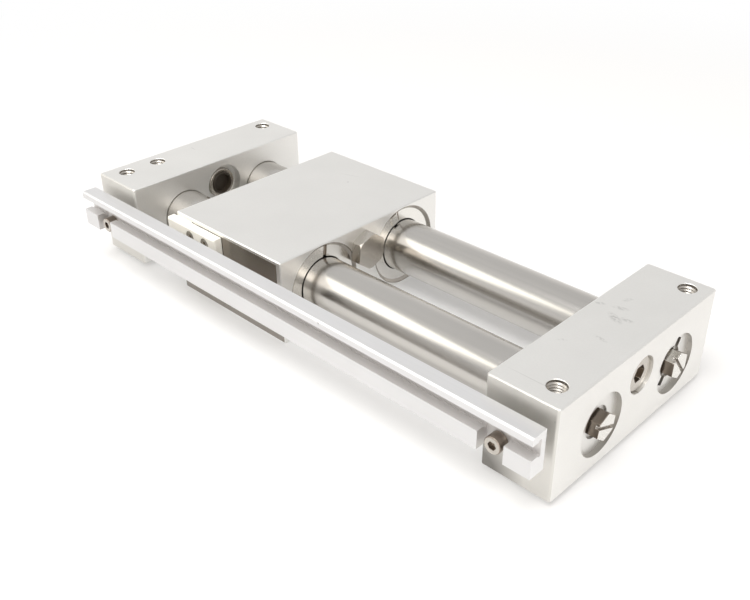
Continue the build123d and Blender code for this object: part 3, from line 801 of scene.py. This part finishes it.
@dataclass
class EndPlate:
    """One end plate with its threads and its tube bolts."""

    side: Side
    hole_x: float = 83.5
    hole_rows: Span = (-23.5, 33.0)
    port_y: float = -11.75
    near_port_depth: float = 5.3
    far_port_depth: float = 7.6
    thread_inset: float = 0.2
    thread_lean: float = 0.3
    bottom: float = 1.5
    top: float = 27.5
    front: float = -30.25
    tube_rows: Span = (-11.75, 21.25)
    axis_height: float = 13.0
    adjuster_axis: Span = (4.25, 18.5)
    adjuster_radius: float = 5.4
    outer_face: float = 89.0
    recess_radius: float = 8.3
    recess_floor: float = 87.5
    recess_span: Span = (0.03, 4.0)
    recess_lean: float = 0.8
    slot_turn: float = 58.0
    slot_length: float = 13.2
    slot_width: float = 2.0
    slot_depth: float = 1.8
    edge: float = 0.05
    bolt_edge: float = 0.12
    bolt_rise: float = 0.6

    def bores(self) -> list[tuple[Span, float, float, bool, bool]]:
        """The threaded holes: axis, lower and upper end, and which of them are mouths."""
        x = self.side.value * self.hole_x
        holes = [((x, y), self.bottom, self.top, True, True) for y in self.hole_rows]
        port = (x, self.port_y)
        if self.side is Side.FAR:
            return [*holes, (port, self.top - self.far_port_depth, self.top, False, True)]
        return [*holes, (port, self.bottom, self.bottom + self.near_port_depth, True, False)]

    def cut(self, plate: Piece) -> None:
        """Cuts the threaded holes and the slot that crosses the back bolt recess's floor."""
        for bore in self.bores():
            M5_THREAD.bore(plate, *bore)
        ends = sorted((self.side.value * (self.recess_floor - self.slot_depth),
                       self.side.value * (self.recess_floor + BEYOND)))
        row, length, width = self.tube_rows[1], self.slot_length / 2, self.slot_width / 2
        Bench.cut(plate, Bench.box((ends[0], row - length, self.axis_height - width),
                                   (ends[1], row + length, self.axis_height + width),
                                   self.slot_turn))

    def in_recess(self, face: Face) -> bool:
        """True for a wall of the plate's bolt recesses or of its adjuster hole's mouth."""
        place = face.center / MM
        low, high = self.recess_span
        reach = min(math.hypot(place.y - y, place.z - self.axis_height) for y in self.tube_rows)
        stop = math.hypot(place.y - self.adjuster_axis[0], place.z - self.adjuster_axis[1])
        inside = reach < self.recess_radius + SLACK or stop < self.adjuster_radius
        deep = low < self.outer_face - abs(place.x) < high
        return deep and inside and abs(face.normal.x) < self.recess_lean

    def in_hole(self, face: Face) -> bool:
        """True for a wall of the plate's threaded holes."""
        place = face.center / MM
        x = self.side.value * self.hole_x
        reach = min(math.hypot(place.x - x, place.y - y) for y in (*self.hole_rows, self.port_y))
        return reach < M5_THREAD.mouth_radius + SLACK and abs(face.normal.z) < self.thread_lean

    def on_front(self, face: Face) -> bool:
        """True for a face of the plate's front side."""
        return face.normal.y < -ALONG and face.center.y / MM < self.front + BEYOND

    def on_bright(self, face: Face) -> bool:
        """True for a bolt head's end face and for the back bolt's upper front flat, which take
        painted light.
        """
        flat = face.center.y > 0.0 and face.normal.z > self.bolt_rise and face.normal.y < 0.0
        return abs(face.normal.x) > FACING or flat

    def build(self, shop: Workshop) -> None:
        """Builds the plate, its threads and its bolts."""
        word = self.side.word
        plate = shop.refine(word + "_end_plate", word + "_plate", "frame", self.edge,
                            change=self.cut)
        # The recess walls are painted darker for shade.
        shop.accent(plate, "turned", self.in_recess)
        # The front faces take the darker copy, painted shade.
        shop.accent(plate, "plate_side", self.on_front)
        # The holes' walls are painted dark for shade.
        shop.accent(plate, "thread", self.in_hole)
        ridges = [M5_THREAD.ridge(axis, low + self.thread_inset, high - self.thread_inset)
                  for axis, low, high, *_ in self.bores()]
        # The thread ridges take the same painted shade.
        shop.place(Bench.joined(word + "_plate_threads", ridges), "frame", "machined_aluminium",
                   (), "thread")
        bolts = shop.refine(word + "_tube_bolts", word + "_slotted_bolts", "frame",
                            self.bolt_edge, 3)
        # The heads' sides are painted dark for shade; end faces and one flat take painted light.
        shop.accent(bolts, "bolt_side", lambda face: abs(face.normal.x) < ALONG)
        shop.accent(bolts, "bolt_face", self.on_bright)


@dataclass
class StrokeAdjuster:
    """Threaded stroke adjuster with its rubber pad."""

    side: Side
    row: float = 4.25
    height: float = 18.5
    socket_radius: float = 2.5
    socket_span: Span = (84.0, 88.2)
    edge: float = 0.12
    pad_edge: float = 0.1

    def in_socket(self, face: Face) -> bool:
        """True for a face of the screw's hexagon socket."""
        place = face.center / MM
        low, high = self.socket_span
        reach = math.hypot(place.y - self.row, place.z - self.height)
        return low < abs(place.x) < high and reach < self.socket_radius

    def build(self, shop: Workshop) -> None:
        """Builds the screw and the pad."""
        word = self.side.word
        name = word + "_adjuster"
        screw = shop.refine(name + "_screw", name, name, self.edge)
        shop.accent(screw, "socket", self.in_socket)
        shop.refine(word + "_bumper", word + "_pad", word + "_stop_pad", self.pad_edge)


@dataclass(frozen=True)
class Bar:
    """Small bar across a split ring's gap, its ends told from the ring's outer face: a metal key,
    or a dark strip of painted shade in the gap.
    """

    word: str
    width: float
    start: float
    end: float
    material: str
    turn: float = 0.0


@dataclass(frozen=True)
class SplitRing:
    """Split rings of one bore, with the small bars in their gaps."""

    word: str
    row: float
    gap_turn: float
    turn: float
    bars: tuple[Bar, ...]
    bar_low: float = 8.6
    bar_high: float = 11.6
    forward: float = 0.8
    shrink: float = 0.98
    height: float = 13.0
    edge: float = 0.06

    def build(self, shop: Workshop, middle: float, reach: float) -> None:
        """Builds the rings and their bars.

        Args:
            shop: The workshop.
            middle: Middle of the table along X.
            reach: Distance from there to a packed ring's outer face.
        """
        face = reach + self.forward
        shop.refine(self.word + "_retaining_rings", self.word + "_split_rings", "table", self.edge,
                    change=lambda rings: Bench.swing(
                        rings, (middle, self.row, self.height), self.turn,
                        (face / reach, self.shrink, self.shrink)))
        for bar in self.bars:
            self.build_bars(shop, bar, middle, face)

    def build_bars(self, shop: Workshop, bar: Bar, middle: float, face: float) -> None:
        """Builds a bar across each ring of the bore.

        Args:
            shop: The workshop.
            bar: The bar's form.
            middle: Middle of the table along X.
            face: Distance from there to a ring's outer face.
        """
        pieces = []
        width = bar.width / 2
        for side in Side:
            low, high = sorted(middle + side.value * (face + step) for step in (bar.start, bar.end))
            piece = Bench.box((low, self.row + self.bar_low, self.height - width),
                              (high, self.row + self.bar_high, self.height + width))
            Bench.swing(piece, (0.0, self.row, self.height), self.gap_turn + self.turn + bar.turn)
            pieces.append(piece)
        joined = Bench.joined(self.word + bar.word, pieces)
        Bench.finish_edges(joined, self.edge)
        shop.place(joined, "table", "ring_steel", (), bar.material)


@dataclass
class SlidingTable:
    """Sliding table with its threads, bolts, split rings and magnet holder."""

    middle_x: float = -26.75
    middle_y: float = 4.25
    half_length: float = 23.75
    front: float = -27.75
    load_pitch: Span = (30.0, 57.0)
    load_depth: float = 4.4
    ridge_span: Span = (0.3, 4.3)
    # Panels over the block's front face, which faces the rail across a narrow gap; their dark
    # finish is painted shade.
    panels: tuple[tuple[Span, Span], ...] = (((-43.0, 5.0), (-4.7, 24.9)),
                                             ((-52.0, -1.0), (-3.35, 9.0)))
    panel_depth: float = 0.15
    panel_facing: float = 0.99
    axis_height: float = 13.0
    bore_radius: float = 12.4
    bore_depth: float = 1.6
    bore_wall: float = 3.6
    mouth: float = 0.2
    mouth_depth: float = 0.1
    lip_width: float = 0.85
    lip_depth: float = 0.8
    lip_inset: float = 0.01
    lip_rim: float = 0.04
    near_zero: float = 0.02
    striker_height: float = 18.5
    striker_turn: float = -7.5
    edge: float = 0.05
    bolt_edge: float = 0.12
    holder_edge: float = 0.15
    screw_edge: float = 0.08
    rings: tuple[SplitRing, ...] = (
        # The front ring's bar is a dark strip sunk in the gap, painted shade.
        SplitRing("front", -11.75, 105.0, -22.0, (
            Bar("_ring_keys", 1.1, -0.8, -0.35, "bolt_side"),)),
        SplitRing("back", 21.25, 120.0, -10.0, (
            Bar("_ring_keys", 2.6, 0.0, 0.5, "ring_steel"),
            # A thin dark line beside the back key, painted shade of the gap.
            Bar("_ring_lines", 0.55, -0.3, 0.03, "bolt_side", -10.5))),
    )

    def build(self, shop: Workshop) -> None:
        """Builds the block and all that rides on it."""
        self.build_block(shop)
        centre = (0.0, self.middle_y, self.striker_height)
        for side in Side:
            shop.refine(side.word + "_striker_bolt", side.word + "_striker", "table",
                        self.bolt_edge, 3,
                        lambda bolt: Bench.swing(bolt, centre, self.striker_turn))
        for ring in self.rings:
            ring.build(shop, self.middle_x, self.half_length - self.bore_depth)
        self.build_lips(shop)
        shop.refine("magnet_holder", "holder", "table", self.holder_edge, 3)
        shop.refine("magnet_holder_screws", "holder_screws", "table", self.screw_edge)

    def mouths(self, reach: float) -> list[tuple[int, Place]]:
        """Places on the bores' axes so far from the table's middle, each with its side's sign."""
        return [(side.value, (self.middle_x + side.value * reach, ring.row, self.axis_height))
                for side in Side for ring in self.rings]

    def build_lips(self, shop: Workshop) -> None:
        """Builds the chamfered lip in each bore's mouth, just before its split ring, dark with
        painted shade.
        """
        lips = []
        rim = self.bore_radius - self.lip_rim
        flare = self.lip_width / self.lip_depth * BEYOND
        for sign, centre in self.mouths(self.half_length - self.mouth_depth - self.lip_depth / 2):
            lip = Bench.disc_x(centre, self.bore_radius - self.lip_inset, self.lip_depth)
            Bench.clear()
            bpy.ops.mesh.primitive_cone_add(
                vertices=TURNED_FACETS, radius1=(rim - self.lip_width - flare) * MM,
                radius2=(rim + flare) * MM, depth=(self.lip_depth + 2 * BEYOND) * MM,
                location=[number * MM for number in centre],
                rotation=(0.0, sign * math.pi / 2, 0.0))
            Bench.cut(lip, Bench.settled())
            lips.append(lip)
        piece = Bench.joined("bore_lips", lips)
        Bench.finish_edges(piece, 0.0)
        # The lips take the bore walls' painted shade.
        shop.place(piece, "table", "machined_aluminium", (), "bore_wall")

    def in_panel(self, face: Face) -> bool:
        """True for the floor of the polished panels, whose dark colour is painted shade."""
        depth = face.center.y / MM - self.front - self.panel_depth
        return face.normal.y < -self.panel_facing and abs(depth) < self.near_zero

    def in_bore(self, face: Face) -> bool:
        """True for the wall of a tube bore's open end."""
        place = face.center / MM
        depth = self.half_length - abs(place.x - self.middle_x)
        reach = min(math.hypot(place.y - ring.row, place.z - self.axis_height)
                    for ring in self.rings)
        return self.near_zero < depth < self.bore_wall and reach < self.bore_radius + self.mouth

    def build_block(self, shop: Workshop) -> None:
        """Builds the block with its load threads, bore mouths and polished panels painted dark for
        shade.
        """
        block = Bench.copy_of(shop.nodes["table_block"], "block")
        ridges = []
        for x_share, y_share in product((-0.5, 0.5), repeat=2):
            axis = (self.middle_x + x_share * self.load_pitch[0],
                    self.middle_y + y_share * self.load_pitch[1])
            M4_THREAD.bore(block, axis, 0.0, self.load_depth, True, False)
            ridges.append(M4_THREAD.ridge(axis, *self.ridge_span))
        for _, centre in self.mouths(self.half_length):
            Bench.cut(block, Bench.disc_x(centre, self.bore_radius + self.mouth,
                                          2 * self.mouth_depth))
        for low, high in self.panels:
            Bench.cut(block, Bench.box((low[0], self.front - BEYOND, low[1]),
                                       (high[0], self.front + self.panel_depth, high[1])))
        Bench.finish_edges(block, self.edge)
        shop.place(block, "table", "machined_aluminium", ("table_block",), "table_aluminium")
        # The panels take the dark finish, painted shade.
        shop.accent(block, "block_side", self.in_panel)
        # The bores' open walls and mouths are painted dark for shade.
        shop.accent(block, "bore_wall", self.in_bore)
        shop.place(Bench.joined("block_threads", ridges), "table", "machined_aluminium", (),
                   "table_aluminium")


@dataclass
class SensorRail:
    """Slotted rail along the front with its cap screws."""

    front: float = -37.75
    inside: float = -37.55
    notch_x: float = 77.2
    notch_half_width: float = 3.62
    notch_back: float = -34.07
    notch_low: float = 15.2
    slot_low: float = 17.9
    slot_high: float = 21.8
    screw_edge: float = 0.12

    def in_slot(self, face: Face) -> bool:
        """True for a face inside the rail's slot or notches."""
        place = face.center / MM
        across = self.inside < place.y < self.notch_back + SLACK
        level = self.slot_low - BEYOND < place.z < self.slot_high + BEYOND
        notch = abs(abs(place.x) - self.notch_x) < self.notch_half_width + SLACK
        return across and (level and abs(face.normal.x) < ALONG or notch)

    def notch(self, rail: Piece) -> None:
        """Cuts a square notch over each screw."""
        for side in Side:
            low, high = (side.value * self.notch_x + share * self.notch_half_width
                         for share in (-1, 1))
            Bench.cut(rail, Bench.box((low, self.front - BEYOND, self.notch_low),
                                      (high, self.notch_back, self.slot_low + BEYOND)))

    def build(self, shop: Workshop) -> None:
        """Builds the rail and its screws."""
        rail = shop.refine("switch_rail", "slotted_rail", "frame", 0.0, change=self.notch)
        # The front faces take the darker copy, painted shade.
        shop.accent(rail, "rail_front", lambda face: face.normal.y < -FACING)
        # The slot and notches are painted darker for shade.
        shop.accent(rail, "slot_inside", self.in_slot)
        screws = shop.refine("rail_screws", "rail_cap_screws", "frame", self.screw_edge, 3)
        # The screw heads' sides take the bolts' painted shade.
        shop.accent(screws, "bolt_side", lambda face: face.normal.y > -FACING)


@dataclass(frozen=True)
class Lamp:
    """Soft square lamp in the studio, aimed at the object."""

    name: str
    towards: Place
    distance: float
    size: float
    power: float
    colour: Colour = (1.0, 1.0, 1.0)


@dataclass
class Studio:
    """Camera, pale floor, white surroundings and soft lamps."""

    camera_place: Place = (168.006, -163.759, 146.736)
    right: Place = (0.7141079, 0.69995642, -0.01053199)
    up: Place = (-0.35831523, 0.37840148, 0.85347672)
    forward: Place = (-0.60138183, 0.6057007, -0.52102453)
    focal_pixels: float = 922.92
    sensor: float = 36.0
    sight: Span = (0.01, 50.0)
    floor_size: float = 6.0
    paper: Colour = (0.92, 0.92, 0.92)
    floor_glow_seen: float = 0.22
    floor_glow_span: Span = (0.17, 0.42)
    floor_glow_gloss: float = 0.29
    ambient: float = 0.62
    ambient_colour: Colour = (1.0, 0.965, 0.925)
    horizon: Colour = (1.0, 0.98, 0.955)
    zenith: Colour = (0.87, 0.87, 0.87)
    zenith_height: float = 0.55
    right_shade: float = 0.86
    right_span: Span = (-0.77, -0.3)
    shade_heights: Span = (0.05, 0.35)
    lamps: tuple[Lamp, ...] = (
        Lamp("top_lamp", (0.1, -0.4, 1.0), 1.0, 0.6, 6.5),
        Lamp("front_lamp", (-0.6, -0.51, 0.61), 0.8, 0.36, 0.75, (1.0, 0.97, 0.88)),
        Lamp("side_lamp", (0.75, -0.62, 0.4), 0.8, 0.5, 1.3, (1.0, 0.95, 0.89)),
    )

    def build(self) -> None:
        """Builds the whole studio."""
        self.build_camera()
        self.build_floor()
        self.build_world()
        for lamp in self.lamps:
            self.build_lamp(lamp)
        bpy.context.scene.view_settings.view_transform = "Standard"

    def build_camera(self) -> None:
        """Places the camera at the photograph's viewing angle."""
        data = bpy.data.cameras.new("camera")
        data.lens = self.focal_pixels * self.sensor / PICTURE_WIDTH
        data.sensor_width = self.sensor
        data.clip_start, data.clip_end = self.sight
        camera = bpy.data.objects.new("camera", data)
        bpy.context.scene.collection.objects.link(camera)
        backward = [-number for number in self.forward]
        place = [number * MM for number in self.camera_place]
        camera.matrix_world = Matrix(((*self.right, 0.0), (*self.up, 0.0), (*backward, 0.0),
                                      (*place, 1.0))).transposed()
        bpy.context.scene.camera = camera

    def build_floor(self) -> None:
        """Builds the pale floor, near white to the camera and to gloss, with soft shadows."""
        Bench.clear()
        bpy.ops.mesh.primitive_plane_add(size=self.floor_size)
        floor = bpy.context.object
        floor.name = "floor"
        material = bpy.data.materials.new("floor_paper")
        material.use_nodes = True
        nodes = Nodes(material.node_tree)
        paper = nodes.add("BsdfDiffuse", {"Color": (*self.paper, 1.0)})
        glow = nodes.add("Emission", {"Color": (1.0, 1.0, 1.0, 1.0)})
        rays = nodes.add("LightPath", {}).outputs
        reach = nodes.distance(nodes.add("TexCoord", {}).outputs["Object"])
        share = nodes.combined("MULTIPLY", rays["Is Camera Ray"], nodes.spread(
            reach, self.floor_glow_seen, 1.0, *self.floor_glow_span, "SMOOTHSTEP"))
        for ray in ("Is Glossy Ray", "Is Transmission Ray"):
            gloss = nodes.combined("MULTIPLY", rays[ray], self.floor_glow_gloss)
            share = nodes.combined("MAXIMUM", share, gloss)
        mix = nodes.add("MixShader", {"Fac": share, 1: paper.outputs["BSDF"],
                                      2: glow.outputs["Emission"]})
        nodes.add("OutputMaterial", {"Surface": mix.outputs["Shader"]})
        Bench.dress(floor, material)

    def build_world(self) -> None:
        """Builds the surroundings: white where seen, a plain ambient level elsewhere."""
        world = bpy.data.worlds.new("studio")
        bpy.context.scene.world = world
        world.use_nodes = True
        nodes = Nodes(world.node_tree)
        direction = nodes.add("TexCoord", {}).outputs["Generated"]
        split = nodes.add("SeparateXYZ", {"Vector": direction}).outputs
        ramp = nodes.add("ValToRGB", {"Fac": split["Z"]})
        stops = ((0.0, self.horizon), (self.zenith_height, self.zenith))
        for element, (position, colour) in zip(ramp.color_ramp.elements, stops):
            element.position = position
            element.color = (*colour, 1.0)
        shade = nodes.spread(split["X"], 1.0, self.right_shade, *self.right_span)
        height = nodes.spread(split["Z"], 0.0, 1.0, *self.shade_heights)
        sky = nodes.blend(height, ramp.outputs["Color"], shade, "MULTIPLY")
        white = nodes.add("Background", {"Color": sky, "Strength": 1.0})
        plain = nodes.add("Background", {
            "Color": (*self.ambient_colour, 1.0), "Strength": self.ambient})
        rays = nodes.add("LightPath", {}).outputs
        seen = nodes.combined("MAXIMUM", rays["Is Camera Ray"], rays["Is Glossy Ray"])
        seen = nodes.combined("MAXIMUM", seen, rays["Is Transmission Ray"])
        mix = nodes.add("MixShader", {"Fac": seen, 1: plain.outputs["Background"],
                                      2: white.outputs["Background"]})
        nodes.add("OutputWorld", {"Surface": mix.outputs["Shader"]})

    def build_lamp(self, lamp: Lamp) -> None:
        """Places one soft lamp and aims it at the object."""
        data = bpy.data.lights.new(lamp.name, "AREA")
        data.shape = "SQUARE"
        data.size = lamp.size
        data.energy = lamp.power
        data.color = lamp.colour
        light = bpy.data.objects.new(lamp.name, data)
        bpy.context.scene.collection.objects.link(light)
        towards = Vector(lamp.towards).normalized()
        light.location = towards * lamp.distance
        light.rotation_mode = "QUATERNION"
        light.rotation_quaternion = (-towards).to_track_quat("-Z", "Y")


def main() -> None:
    """Builds the studio and every piece of the unit."""
    logging.basicConfig(level=logging.INFO, format="%(name)s %(message)s")
    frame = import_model()
    Studio().build()
    shop = Workshop(frame, PALETTE)
    shop.dress_nodes()
    for side in Side:
        EndPlate(side).build(shop)
        StrokeAdjuster(side).build(shop)
    SlidingTable().build(shop)
    SensorRail().build(shop)


if __name__ == "__main__":
    main()
